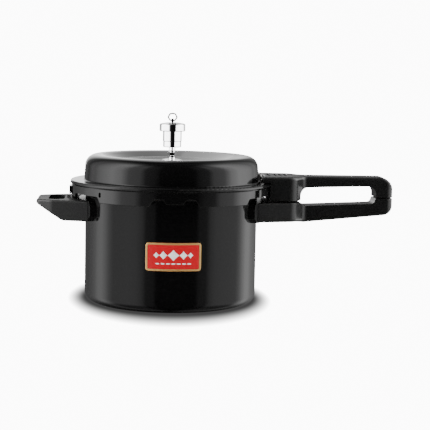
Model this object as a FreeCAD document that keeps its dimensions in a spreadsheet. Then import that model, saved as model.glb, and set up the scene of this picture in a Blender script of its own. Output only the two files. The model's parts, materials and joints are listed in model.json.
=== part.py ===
import FreeCAD, Part
import math
import os
import Sketcher

# An outer-lid pressure cooker: a deep pot with a long handle and a helper handle, a bayonet lid
# with its own long handle, and a weight valve that lifts off a vent tube.
# Millimetres. The origin is the middle of the pot's base, +Z is up and +X runs along the handles.

V = FreeCAD.Vector
UP = V(0, 0, 1)

# alias, value in millimetres or degrees, meaning
DRIVING_DIMENSIONS = [
    ("pot_radius", 102.0, "outside of the pot wall"),
    ("pot_wall", 3.2, "thickness of the pot wall"),
    ("pot_floor", 5.0, "thickness of the pot floor"),
    ("pot_corner", 11.0, "outside radius where wall meets floor"),
    ("rim_top", 134.0, "height of the pot rim"),
    ("rim_under", 130.0, "underside of the rim flange"),
    ("rim_radius", 109.0, "outside of the rim flange between its lugs"),
    ("pot_lug_radius", 114.4, "outside of the rim lugs"),
    ("pot_lug_under", 127.4, "underside of the rim lugs"),
    ("pot_lug_width", 26.0, "angle that one rim lug covers"),
    ("lug_place", 30.0, "angle of each lug from the front and back"),
    ("lid_wall", 3.0, "thickness of the lid"),
    ("skirt_radius", 118.2, "outside of the lid skirt"),
    ("skirt_bottom", 123.4, "lower edge of the lid skirt"),
    ("flange_top", 144.0, "top of the lid flange"),
    ("bead_radius", 119.3, "outside of the bead round the flange"),
    ("bead_bottom", 139.8, "lower side of the bead"),
    ("dome_foot", 103.8, "dome radius where it leaves the flange"),
    ("dome_shoulder", 101.7, "dome radius just below its top corner"),
    ("dome_corner", 13.0, "radius of the dome's top corner"),
    ("crown_top", 173.8, "top of the dome's crown ring"),
    ("crown_radius", 82.0, "inner radius of the crown ring"),
    ("dish_radius", 62.0, "radius of the flat dish inside the crown"),
    ("dish_top", 167.3, "height of the dish"),
    ("cut_top", 131.7, "top of the cut-outs in the skirt"),
    ("front_cut_foot", 29.9, "half width of the front cut-out at the edge"),
    ("front_cut_head", 22.9, "half width of the front cut-out at its top"),
    ("hump_root", 13.5, "half width of the front tab at its root"),
    ("hump_tip", 9.0, "half width of the front tab at its tip"),
    ("hump_bottom", 126.3, "lower edge of the front tab"),
    ("side_cut_foot", 84.4, "half width of the side cut-out at the edge"),
    ("side_cut_head", 80.8, "half width of the side cut-out at its top"),
    ("side_cut_top", 130.4, "top of the side cut-outs"),
    ("side_tab_foot", 32.0, "half width of the skirt left between two side cut-outs"),
    ("side_tab_head", 36.0, "half width of that tab at its root"),
    ("lid_stop_radius", 121.0, "outside of the stop on the skirt, over the helper handle"),
    ("lid_stop_bottom", 127.2, "lower edge of that stop"),
    ("lid_stop_top", 136.2, "upper edge of that stop"),
    ("lid_stop_angle", 5.0, "half angle that the stop covers"),
    ("lid_lug_inner", 111.5, "inside of the lid lugs"),
    ("lid_lug_top", 127.0, "top of the lid lugs"),
    ("lid_lug_width", 31.0, "angle that one lid lug covers"),
    ("window_place", 45.0, "angle of the gasket window from the front"),
    ("window_middle", 132.7, "height of the gasket window"),
    ("gasket_inner", 104.2, "inside of the gasket"),
    ("gasket_outer", 114.2, "outside of the gasket"),
    ("badge_bottom", 49.7, "lower edge of the badge"),
    ("badge_top", 81.8, "upper edge of the badge"),
    ("badge_half_width", 31.3, "half width of the badge"),
    ("badge_thickness", 0.8, "thickness of the badge"),
    ("guard_radius", 109.5, "outside of a flame guard"),
    ("guard_angle", 34.0, "half angle that a flame guard covers"),
    ("guard_bottom", 98.4, "lower edge of a flame guard"),
    ("guard_top", 122.2, "upper edge of a flame guard"),
    ("guard_half_width", 54.0, "half width of a flame guard"),
    ("body_root_half", 47.0, "half width of the lower handle at the pot"),
    ("lid_root_half", 37.0, "half width of the upper handle at the lid"),
    ("root_half_width", 34.0, "half width of both long handles before the waist"),
    ("grip_half_width", 16.0, "half width of the grip"),
    ("root_end", 144.0, "where the root ends and the waist starts"),
    ("grip_start", 157.0, "where the waist ends and the grip starts"),
    ("grip_round", 4.0, "rounding of the grip's outer edges"),
    ("handle_end", 264.5, "end of both long handles"),
    ("slot_end", 243.0, "end of the finger slot between the handles"),
    ("body_handle_bottom", 98.8, "underside of the lower handle at the root"),
    ("body_handle_top", 121.2, "top of the lower handle at the root"),
    ("root_top_end", 151.0, "where the top of the lower handle starts to fall"),
    ("grip_under_start", 96.9, "underside of the lower handle where the grip starts"),
    ("grip_under_end", 107.3, "underside of the lower handle at its end"),
    ("slot_floor_start", 116.6, "floor of the finger slot near the pot"),
    ("slot_floor_end", 120.1, "floor of the finger slot at its far end"),
    ("lower_split", 126.4, "top of the lower handle's end"),
    ("upper_split", 127.4, "underside of the upper handle's end"),
    ("lid_handle_top", 151.8, "top of the upper handle"),
    ("lid_handle_bottom", 123.6, "underside of the upper handle's root"),
    ("slot_roof_start", 138.2, "roof of the finger slot near the pot"),
    ("slot_roof_end", 141.0, "roof of the finger slot at its far end"),
    ("slot_start", 152.2, "near end of the finger slot"),
    ("overhang_under", 144.9, "underside of the upper handle over the flange"),
    ("overhang_radius", 110.0, "inner edge of that overhang"),
    ("helper_top", 122.0, "top of the helper handle"),
    ("helper_bottom", 98.2, "underside of the helper handle"),
    ("helper_nose", 116.9, "underside of the helper handle at its nose"),
    ("helper_reach", 158.4, "end of the helper handle"),
    ("helper_slope_start", 127.5, "where its underside starts to rise"),
    ("helper_root_half", 50.5, "half width of the helper handle at the pot"),
    ("helper_half", 38.0, "half width of the helper handle where its nose starts"),
    ("helper_knee", 141.0, "where its nose starts"),
    ("helper_stop_start", 119.8, "near side of the steel stop on the helper handle"),
    ("helper_stop_end", 123.2, "far side of that stop"),
    ("helper_stop_top", 125.6, "top of that stop"),
    ("helper_stop_half", 5.0, "half width of that stop"),
    ("loop_start", 126.0, "near side of the helper handle's opening"),
    ("loop_end", 144.4, "far side of the helper handle's opening"),
    ("loop_half", 27.0, "half width of the helper handle's opening"),
    ("tongue_half_width", 7.0, "half width of a bracket's tongue"),
    ("tongue_bottom", 107.0, "underside of the pot brackets' tongues"),
    ("tongue_top", 110.0, "top of the pot brackets' tongues"),
    ("foot_thickness", 2.0, "thickness of a bracket's foot"),
    ("foot_angle", 10.0, "half angle of a bracket's foot"),
    ("rivet_place", 7.3, "angle of the rivets from the handle's middle"),
    ("rivet_height", 108.5, "height of the pot rivets"),
    ("rivet_radius", 2.0, "radius of a rivet's shank"),
    ("screw_radius", 2.0, "radius of a handle screw's shank"),
    ("screw_hole", 2.3, "radius of its clearance hole"),
    ("screw_head", 3.8, "radius of a handle screw's head"),
    ("screw_sink", 5.0, "radius of its counterbore"),
    ("screw_gap", 16.0, "distance between the two screws of a handle"),
    ("body_screw_place", 120.0, "first screw of the lower handle"),
    ("lid_screw_place", 131.0, "first screw of the upper handle"),
    ("helper_screw_place", 116.0, "screw of the helper handle"),
    ("lid_tongue_bottom", 144.3, "underside of the lid bracket's tongue"),
    ("lid_tongue_top", 146.3, "top of the lid bracket's tongue"),
    ("lid_foot_top", 154.0, "top of the lid bracket's foot"),
    ("lid_rivet_height", 150.4, "height of the lid rivets"),
    ("vent_radius", 3.7, "radius of the vent tube inside the weight"),
    ("vent_bore", 1.5, "radius of the vent tube's bore"),
    ("vent_top", 189.0, "top of the vent tube"),
    ("vent_thread", 4.0, "radius of the vent tube's thread"),
    ("vent_base_radius", 11.7, "radius of the disc under the vent tube"),
    ("vent_base_top", 169.2, "top of that disc"),
    ("hex_bottom", 172.8, "lower side of the vent tube's hexagon"),
    ("hex_top", 177.6, "upper side of the vent tube's hexagon"),
    ("nut_height", 5.0, "height of the two nuts inside the lid"),
    ("nut_flats", 14.0, "distance across the flats of those nuts"),
    ("washer_height", 1.0, "thickness of the seal washers inside the lid"),
    ("plug_x", -50.0, "place of the safety plug along the handle line"),
    ("plug_y", 5.0, "place of the safety plug across it"),
    ("dimple_radius", 11.7, "radius of the dimple round the safety plug"),
    ("dimple_depth", 1.5, "depth of that dimple"),
    ("plug_thread", 4.5, "radius of the safety plug's thread"),
    ("plug_head", 7.0, "radius of the safety plug's head"),
    ("weight_bottom", 183.2, "lower edge of the weight"),
    ("sleeve_top", 190.1, "top of the weight's lower sleeve"),
    ("sleeve_radius", 10.75, "radius of the lower sleeve"),
    ("weight_radius", 11.15, "radius of the weight's body"),
    ("weight_bore", 4.2, "radius of the weight's bore"),
    ("cap_bottom", 202.0, "lower edge of the weight's cap"),
    ("cap_seat", 204.4, "where the cap rests on the body"),
    ("cap_top", 212.4, "top of the weight's cap"),
    ("cap_radius", 15.3, "radius of the weight's cap"),
    ("eye_height", 214.7, "height of the eye that holds the ring"),
    ("eye_radius", 2.3, "radius of the eye"),
    ("eye_hole", 1.2, "radius of the hole through the eye"),
    ("stem_radius", 1.5, "radius of the eye's stem"),
    ("ring_wire", 0.9, "radius of the ring's wire"),
    ("ring_half_width", 5.3, "half width of the ring's centre line"),
    ("ring_height", 8.3, "height of the ring's centre line"),
]


class Size:
    """A number kept together with the sheet expression that gives it."""

    def __init__(self, value, text):
        self.value = float(value)
        self.text = text

    def __add__(self, other):
        other = as_size(other)
        return Size(self.value + other.value, f"({self.text} + {other.text})")

    def __sub__(self, other):
        other = as_size(other)
        return Size(self.value - other.value, f"({self.text} - {other.text})")

    def __mul__(self, other):
        other = as_size(other)
        return Size(self.value * other.value, f"({self.text} * {other.text})")

    def __truediv__(self, other):
        other = as_size(other)
        return Size(self.value / other.value, f"({self.text} / {other.text})")

    def __neg__(self):
        return Size(-self.value, f"(0 - {self.text})")

    def __radd__(self, other):
        return as_size(other) + self

    def __rsub__(self, other):
        return as_size(other) - self

    def __rmul__(self, other):
        return as_size(other) * self


class Dimensions:
    """The driving dimensions, each under its own name."""


def as_size(number):
    if isinstance(number, Size):
        return number
    return Size(number, str(float(number)))


def sine(angle):
    return Size(math.sin(math.radians(angle.value)), f"sin({angle.text} * 1 deg)")


def cosine(angle):
    return Size(math.cos(math.radians(angle.value)), f"cos({angle.text} * 1 deg)")


doc = FreeCAD.newDocument("pressure_cooker")
sheet = doc.addObject("Spreadsheet::Sheet", "sizes")
d = Dimensions()
for row, (alias, value, meaning) in enumerate(DRIVING_DIMENSIONS, start=1):
    sheet.set(f"A{row}", alias)
    sheet.set(f"B{row}", str(value))
    sheet.set(f"C{row}", meaning)
    sheet.setAlias(f"B{row}", alias)
    setattr(d, alias, Size(value, f"sizes.{alias}"))
doc.recompute()


# ---------------------------------------------------------------- sketches and features

def bind(thing, path, size, unit=""):
    thing.setExpression(path, as_size(size).text + unit)


def origin_item(body, role):
    return next(item for item in body.Origin.OriginFeatures if item.Role == role)


def new_body(label):
    body = doc.addObject("PartDesign::Body", label)
    body.Label = label
    body.AllowCompound = True
    return body


def new_sketch(body, name, plane, lift=0, turn=None):
    """A sketch on one of the body's origin planes, lifted off it or turned about its own Y axis."""
    sketch = body.newObject("Sketcher::SketchObject", f"{body.Name}_{name}")
    sketch.AttachmentSupport = [(origin_item(body, plane), "")]
    sketch.MapMode = "FlatFace"
    if turn is not None:
        sketch.AttachmentOffset = FreeCAD.Placement(V(), FreeCAD.Rotation(V(0, 1, 0), 10))
        bind(sketch, "AttachmentOffset.Rotation.Angle", turn, " * 1 deg")
    bind(sketch, "AttachmentOffset.Base.z", lift)
    return sketch


def pin(sketch, item, end, x, y):
    """Hold one end or the centre of an item at x, y from the sketch's origin."""
    for kind, axis, place in (("DistanceX", -2, as_size(x)), ("DistanceY", -1, as_size(y))):
        if place.text == "0.0":
            sketch.addConstraint(Sketcher.Constraint("PointOnObject", item, end, axis))
        else:
            number = sketch.addConstraint(Sketcher.Constraint(kind, -1, 1, item, end, place.value))
            bind(sketch, f"Constraints[{number}]", place)


def radius_of(sketch, item, radius):
    number = sketch.addConstraint(Sketcher.Constraint("Radius", item, radius.value))
    bind(sketch, f"Constraints[{number}]", radius)


def circle(sketch, x, y, radius):
    centre = V(as_size(x).value, as_size(y).value, 0)
    item = sketch.addGeometry(Part.Circle(centre, UP, as_size(radius).value), False)
    pin(sketch, item, 3, x, y)
    radius_of(sketch, item, as_size(radius))


def outline(sketch, corners):
    """A closed outline of straight sides. A corner is (x, y), or (x, y, radius) if it is rounded."""
    count = len(corners)
    points = [V(as_size(corner[0]).value, as_size(corner[1]).value, 0) for corner in corners]
    joints = []
    for i, corner in enumerate(corners):
        if len(corner) == 2:
            joints.append((points[i], points[i], None))
            continue
        radius = as_size(corner[2]).value
        back = (points[i - 1] - points[i]).normalize()
        ahead = (points[(i + 1) % count] - points[i]).normalize()
        half_angle = back.getAngle(ahead) / 2
        reach = radius / math.tan(half_angle)
        centre = points[i] + (back + ahead).normalize() * (radius / math.sin(half_angle))
        joints.append((points[i] + back * reach, points[i] + ahead * reach, centre))
    sides = []
    for i in range(count):
        side = Part.LineSegment(joints[i][1], joints[(i + 1) % count][0])
        sides.append(sketch.addGeometry(side, False))
    for i, corner in enumerate(corners):
        before, after = sides[i - 1], sides[i]
        start, end, centre = joints[i]
        if centre is None:
            sketch.addConstraint(Sketcher.Constraint("Coincident", before, 2, after, 1))
            pin(sketch, after, 1, corner[0], corner[1])
            continue
        left_turn = (points[i] - points[i - 1]).cross(points[(i + 1) % count] - points[i]).z > 0
        first, last = (start, end) if left_turn else (end, start)
        from_angle = math.atan2(first.y - centre.y, first.x - centre.x)
        to_angle = math.atan2(last.y - centre.y, last.x - centre.x)
        if to_angle < from_angle:
            to_angle += 2 * math.pi
        arc_circle = Part.Circle(centre, UP, as_size(corner[2]).value)
        arc = sketch.addGeometry(Part.ArcOfCircle(arc_circle, from_angle, to_angle), False)
        arc_in, arc_out = (1, 2) if left_turn else (2, 1)
        sketch.addConstraint(Sketcher.Constraint("Tangent", before, 2, arc, arc_in))
        sketch.addConstraint(Sketcher.Constraint("Tangent", arc, arc_out, after, 1))
        radius_of(sketch, arc, as_size(corner[2]))
        sharp_corner = sketch.addGeometry(Part.Point(points[i]), True)
        sketch.addConstraint(Sketcher.Constraint("PointOnObject", sharp_corner, 1, before))
        sketch.addConstraint(Sketcher.Constraint("PointOnObject", sharp_corner, 1, after))
        pin(sketch, sharp_corner, 1, corner[0], corner[1])


def rectangle(sketch, left, right, bottom, top, radius=None):
    corners = [(left, bottom), (right, bottom), (right, top), (left, top)]
    if radius is not None:
        corners = [corner + (radius,) for corner in corners]
    outline(sketch, corners)


def hexagon(sketch, across_flats):
    """A regular hexagon round the sketch's origin, with two flats square to its Y axis."""
    reach = across_flats / math.sqrt(3)
    outline(sketch, [(reach * cosine(as_size(60 * i + 0.0)), reach * sine(as_size(60 * i + 0.0)))
                     for i in range(6)])


def pad(body, sketch, length, both_sides=False):
    feature = body.newObject("PartDesign::Pad", sketch.Name + "_pad")
    feature.Profile = sketch
    bind(feature, "Length", length)
    feature.SideType = "Symmetric" if both_sides else "One side"
    return feature


def pocket(body, sketch, length=None, along_normal=False):
    """Cut against the sketch's normal by length, or right through both ways with no length."""
    feature = body.newObject("PartDesign::Pocket", sketch.Name + "_pocket")
    feature.Profile = sketch
    if length is None:
        feature.Type = "ThroughAll"
        feature.SideType = "Symmetric"
    else:
        bind(feature, "Length", length)
        feature.Reversed = along_normal
    return feature


def pocket_both_sides(body, sketch, width):
    feature = pocket(body, sketch, width)
    feature.SideType = "Symmetric"
    return feature


def turned(body, sketch, angle=None, cut=False, axis="V_Axis"):
    """The sketch turned about one of its own axes, all the way round or by an angle."""
    kind = "Groove" if cut else "Revolution"
    feature = body.newObject("PartDesign::" + kind, sketch.Name + "_turned")
    feature.Profile = sketch
    feature.ReferenceAxis = (sketch, [axis])
    if angle is not None:
        bind(feature, "Angle", angle, " * 1 deg")
    return feature


def mirrored(body, features, plane):
    feature = body.newObject("PartDesign::Mirrored", body.Name + "_mirrored")
    feature.Originals = features
    feature.MirrorPlane = (origin_item(body, plane), [""])
    body.Tip = feature
    return feature


def repeated_along_x(body, features, distance):
    feature = body.newObject("PartDesign::LinearPattern", body.Name + "_pattern")
    feature.Originals = features
    feature.Direction = (origin_item(body, "X_Axis"), [""])
    bind(feature, "Length", distance)
    feature.Occurrences = 2
    body.Tip = feature
    return feature


def opposite(body, features):
    """The features once more, half a turn round the Z axis."""
    feature = body.newObject("PartDesign::PolarPattern", body.Name + "_pattern")
    feature.Originals = features
    feature.Axis = (origin_item(body, "Z_Axis"), [""])
    feature.Angle = 360
    feature.Occurrences = 2
    body.Tip = feature
    return feature


def keep_inside(body, name, plane, corners, reach=600):
    """Cut away all that lies outside an outline, seen square to one plane."""
    sketch = new_sketch(body, name, plane)
    rectangle(sketch, -reach, reach, -reach, reach)
    outline(sketch, corners)
    return pocket(body, sketch)


def middle(edge):
    return edge.valueAt((edge.FirstParameter + edge.LastParameter) / 2)


def rounded(body, feature, radius, wanted):
    """Fillet the feature's edges whose middle point passes the test, and what runs on from them."""
    doc.recompute()
    names = [f"Edge{number}" for number, edge in enumerate(feature.Shape.Edges, start=1)
             if wanted(middle(edge))]
    fillet = body.newObject("PartDesign::Fillet", f"{body.Name}_round{len(body.Group)}")
    fillet.Base = (feature, names)
    bind(fillet, "Radius", radius)
    return fillet


def near(value, size, slack=0.06):
    return abs(abs(value) - as_size(size).value) < slack


# ---------------------------------------------------------------- pot

def make_pot_body():
    body = new_body("pot_body")
    inner = d.pot_radius - d.pot_wall
    profile = new_sketch(body, "wall", "XZ_Plane")
    outline(profile, [
        (0, 0),
        (d.pot_radius, 0, d.pot_corner),
        (d.pot_radius, d.rim_under, 2.0),
        (d.rim_radius, d.rim_under, 1.2),
        (d.rim_radius, d.rim_top, 1.2),
        (inner, d.rim_top, 1.0),
        (inner, d.pot_floor, d.pot_corner - d.pot_wall),
        (0, d.pot_floor),
    ])
    turned(body, profile)
    lugs = []
    for name, place in (("lug_a", 90 - d.lug_place), ("lug_b", 90 + d.lug_place)):
        lug = new_sketch(body, name, "XZ_Plane", turn=place - d.pot_lug_width / 2)
        outline(lug, [
            (d.rim_radius - 3.0, d.pot_lug_under + 2.8),
            (d.rim_radius + 0.6, d.pot_lug_under, 1.0),
            (d.pot_lug_radius, d.pot_lug_under, 1.2),
            (d.pot_lug_radius, d.rim_top, 1.6),
            (d.rim_radius - 3.0, d.rim_top),
        ])
        lugs.append(turned(body, lug, d.pot_lug_width))
    opposite(body, lugs)
    for name, side in (("rivet_holes_a", 1), ("rivet_holes_b", -1)):
        holes = new_sketch(body, name, "YZ_Plane", turn=side * d.rivet_place)
        circle(holes, 0, d.rivet_height, d.rivet_radius)
        pocket(body, holes)
    return body


def make_front_badge():
    body = new_body("front_badge")
    half_angle = 20
    plate = new_sketch(body, "plate", "XZ_Plane", turn=as_size(270 - half_angle))
    rectangle(plate, d.pot_radius, d.pot_radius + d.badge_thickness, d.badge_bottom, d.badge_top)
    turned(body, plate, as_size(2 * half_angle))
    keep_inside(body, "edge", "XZ_Plane", [
        (-d.badge_half_width, d.badge_bottom, 3.6),
        (d.badge_half_width, d.badge_bottom, 3.6),
        (d.badge_half_width, d.badge_top, 3.6),
        (-d.badge_half_width, d.badge_top, 3.6),
    ])
    return body


def make_pot_bracket(label, tongue_end, screw_places, half_turn, with_stop=False):
    """A curved foot on the pot wall and a flat tongue in a handle, with or without a stop at its end."""
    body = new_body(label)
    foot_outside = d.pot_radius + d.foot_thickness
    foot = new_sketch(body, "foot", "XZ_Plane", turn=-d.foot_angle)
    rectangle(foot, d.pot_radius, foot_outside, d.tongue_bottom - 6.5, d.tongue_top + 5.5)
    turned(body, foot, 2 * d.foot_angle)
    tongue = new_sketch(body, "tongue", "XY_Plane", lift=d.tongue_bottom)
    outline(tongue, [
        (foot_outside - 1.0, -d.tongue_half_width),
        (tongue_end, -d.tongue_half_width, 3.0),
        (tongue_end, d.tongue_half_width, 3.0),
        (foot_outside - 1.0, d.tongue_half_width),
    ])
    pad(body, tongue, d.tongue_top - d.tongue_bottom)
    if with_stop:
        stop = new_sketch(body, "stop", "XY_Plane", lift=d.tongue_bottom)
        rectangle(stop, d.helper_stop_start, d.helper_stop_end,
                  -d.helper_stop_half, d.helper_stop_half)
        pad(body, stop, d.helper_stop_top - d.tongue_bottom)
    threads = new_sketch(body, "threads", "XY_Plane", lift=d.tongue_top)
    for place in screw_places:
        circle(threads, place, 0, d.screw_radius)
    pocket(body, threads)
    for name, side in (("rivet_hole_a", 1), ("rivet_hole_b", -1)):
        hole = new_sketch(body, name, "YZ_Plane", turn=side * d.rivet_place)
        circle(hole, 0, d.rivet_height, d.rivet_radius)
        pocket(body, hole)
    body.Placement = half_turn
    return body


def make_rivets(label, inner, outer, height, half_turn):
    """Two rivets on radial axes: a flat head inside, a domed head outside."""
    body = new_body(label)
    head = 1.75 * d.rivet_radius
    rivet = new_sketch(body, "rivet", "XZ_Plane", turn=d.rivet_place)
    outline(rivet, [
        (inner - 1.2, 0),
        (inner - 1.2, head, 0.5),
        (inner, head),
        (inner, d.rivet_radius),
        (outer, d.rivet_radius),
        (outer, head),
        (outer + 1.3, head, 1.2),
        (outer + 1.3, 0),
    ])
    solid = turned(body, rivet, axis="H_Axis")
    mirrored(body, [solid], "XZ_Plane")
    body.Placement = half_turn
    bind(body, "Placement.Base.z", height)
    return body


def make_flame_guard(label, half_turn):
    """A metal saddle that hugs the pot wall and shields the root of a handle."""
    body = new_body(label)
    section = new_sketch(body, "section", "XZ_Plane", turn=-d.guard_angle)
    rectangle(section, d.pot_radius, d.guard_radius, d.guard_bottom, d.guard_top)
    turned(body, section, 2 * d.guard_angle)
    keep_inside(body, "edge", "YZ_Plane", [
        (-d.guard_half_width, d.guard_bottom + 6.0, 3.0),
        (-d.guard_half_width + 9.0, d.guard_bottom, 5.0),
        (d.guard_half_width - 9.0, d.guard_bottom, 5.0),
        (d.guard_half_width, d.guard_bottom + 6.0, 3.0),
        (d.guard_half_width, d.guard_top - 6.0, 3.0),
        (d.guard_half_width - 3.5, d.guard_top, 1.5),
        (-d.guard_half_width + 3.5, d.guard_top, 1.5),
        (-d.guard_half_width, d.guard_top - 6.0, 3.0),
    ])
    recess_height = d.tongue_top + 6.5
    recess = new_sketch(body, "recess", "XZ_Plane", turn=-(d.foot_angle + 1.0))
    rectangle(recess, d.pot_radius - 2.0, d.pot_radius + 3.6, d.tongue_bottom - 7.5, recess_height)
    turned(body, recess, 2 * d.foot_angle + 2.0, cut=True)
    window = new_sketch(body, "window", "YZ_Plane")
    half_width = d.tongue_half_width + 0.3
    rectangle(window, -half_width, half_width, d.tongue_bottom - 0.3, d.tongue_top + 0.3)
    pocket(body, window, as_size(130.0), along_normal=True)
    body.Placement = half_turn
    return body


def sink_screws(body, places, underside, floor, depth):
    """Counterbores and clearance holes for screws that come from below."""
    sinks = new_sketch(body, "sinks", "XY_Plane", lift=underside - 5.0)
    for place in places:
        circle(sinks, place, 0, d.screw_sink)
    pocket(body, sinks, floor - underside + 5.0, along_normal=True)
    holes = new_sketch(body, "screw_holes", "XY_Plane", lift=underside - 5.0)
    for place in places:
        circle(holes, place, 0, d.screw_hole)
    pocket(body, holes, depth - underside + 5.0, along_normal=True)


def clear_of_guard(body):
    """Shape a handle's root to the guard's outer face."""
    face = new_sketch(body, "root_face", "XY_Plane")
    circle(face, 0, 0, d.guard_radius + 0.4)
    return pocket(body, face)


def tongue_slot(body, end):
    slot = new_sketch(body, "tongue_slot", "XZ_Plane")
    rectangle(slot, d.pot_radius, end + 0.5, d.tongue_bottom - 0.2, d.tongue_top + 0.2)
    pocket_both_sides(body, slot, 2 * d.tongue_half_width + 0.6)


def grip_plan(start, root_half):
    """The plan of a long handle: a root that tapers, a smooth waist and a slim grip."""
    right = [
        (start, -root_half),
        (d.root_end, -d.root_half_width, 14.0),
        (d.grip_start, -d.grip_half_width, 9.0),
        (d.handle_end, -d.grip_half_width, 9.0),
    ]
    left = [
        (d.handle_end, d.grip_half_width, 9.0),
        (d.grip_start, d.grip_half_width, 9.0),
        (d.root_end, d.root_half_width, 14.0),
        (start, root_half),
    ]
    return right + left


BODY_SCREWS = [d.body_screw_place, d.body_screw_place + d.screw_gap]
LID_SCREWS = [d.lid_screw_place, d.lid_screw_place + d.screw_gap]
BODY_TONGUE_END = d.body_screw_place + d.screw_gap + 7.0
LID_TONGUE_END = d.lid_screw_place + d.screw_gap + 5.0
HELPER_TONGUE_END = d.helper_stop_end
SCREW_FLOOR = d.body_handle_bottom + 5.5
LID_SCREW_FLOOR = d.lid_handle_bottom + 11.0
LEG_START = d.bead_radius + 2.4


def make_body_handle():
    body = new_body("body_handle")
    start = d.pot_radius - 8.0
    plan = new_sketch(body, "plan", "XY_Plane", lift=d.grip_under_start - 2.0)
    outline(plan, grip_plan(start, d.body_root_half))
    pad(body, plan, d.lower_split - d.grip_under_start + 4.0)
    clear_of_guard(body)
    shape = keep_inside(body, "side", "XZ_Plane", [
        (start - 10.0, d.body_handle_bottom),
        (d.root_end, d.body_handle_bottom, 12.0),
        (d.grip_start, d.grip_under_start, 12.0),
        (d.handle_end, d.grip_under_end, 13.0),
        (d.handle_end, d.lower_split, 1.0),
        (d.slot_end, d.lower_split, 1.0),
        (d.slot_end - 2.0, d.slot_floor_end, 5.0),
        (d.root_top_end + 7.0, d.slot_floor_start, 5.0),
        (d.root_top_end, d.body_handle_top, 2.0),
        (start - 10.0, d.body_handle_top),
    ])
    grip_under = (d.grip_under_start + d.grip_under_end) / 2 + 2.0
    shape = rounded(body, shape, d.grip_round, lambda point: near(point.y, d.grip_half_width)
                    and point.z < grip_under.value)
    rounded(body, shape, as_size(0.7), lambda point: abs(point.y) > d.root_half_width.value
            and near(point.z, d.body_handle_top))
    tongue_slot(body, BODY_TONGUE_END)
    sink_screws(body, BODY_SCREWS, d.body_handle_bottom, SCREW_FLOOR, d.tongue_top + 2.5)
    return body


def make_lid_handle():
    body = new_body("lid_handle")
    start = d.overhang_radius - 20.0
    plan = new_sketch(body, "plan", "XY_Plane", lift=d.lid_handle_bottom - 2.0)
    outline(plan, grip_plan(start, d.lid_root_half))
    pad(body, plan, d.lid_handle_top - d.lid_handle_bottom + 4.0)
    overhang = new_sketch(body, "overhang", "XY_Plane")
    circle(overhang, 0, 0, d.overhang_radius)
    pocket(body, overhang)
    root_face = new_sketch(body, "root_face", "XY_Plane", lift=d.overhang_under)
    circle(root_face, 0, 0, d.bead_radius + 0.9)
    pocket(body, root_face, as_size(60.0))
    shape = keep_inside(body, "side", "XZ_Plane", [
        (start - 10.0, d.lid_handle_bottom),
        (d.slot_start, d.lid_handle_bottom, 2.0),
        (d.slot_start, d.slot_roof_start, 10.0),
        (d.slot_end, d.slot_roof_end, 9.0),
        (d.slot_end, d.upper_split, 1.0),
        (d.handle_end, d.upper_split, 1.0),
        (d.handle_end, d.lid_handle_top, 17.0),
        (start - 10.0, d.lid_handle_top),
    ])
    shape = rounded(body, shape, d.grip_round, lambda point: near(point.y, d.grip_half_width)
                    and near(point.z, d.lid_handle_top))
    shape = rounded(body, shape, as_size(0.7), lambda point: abs(point.y) > d.root_half_width.value
                    and near(point.z, d.lid_handle_bottom))
    rounded(body, shape, as_size(2.0), lambda point: near(point.y, 0) and point.z > d.flange_top.value
            and near(point.x, d.overhang_radius))
    slot = new_sketch(body, "tongue_slot", "XZ_Plane")
    rectangle(slot, d.dome_shoulder, LID_TONGUE_END + 0.5,
              d.lid_tongue_bottom - 0.2, d.lid_tongue_top + 0.2)
    pocket_both_sides(body, slot, 2 * d.tongue_half_width + 0.6)
    leg_slot = new_sketch(body, "leg_slot", "XZ_Plane")
    rectangle(leg_slot, LEG_START - 0.2, LEG_START + 2.2,
              d.lid_handle_bottom - 2.0, d.lid_tongue_bottom)
    pocket_both_sides(body, leg_slot, d.tongue_half_width + 3.4)
    sink_screws(body, LID_SCREWS, d.lid_handle_bottom, LID_SCREW_FLOOR, d.lid_tongue_top + 3.0)
    grooves = new_sketch(body, "grooves", "XY_Plane", lift=d.lid_handle_top)
    first_groove = d.skirt_radius - 3.0
    for distance in (0.0, 8.0, 14.0, 20.0):
        rectangle(grooves, first_groove + distance - 0.9, first_groove + distance + 0.9,
                  -15.0, 15.0, 0.8)
    pocket(body, grooves, as_size(1.4))
    return body


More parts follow.
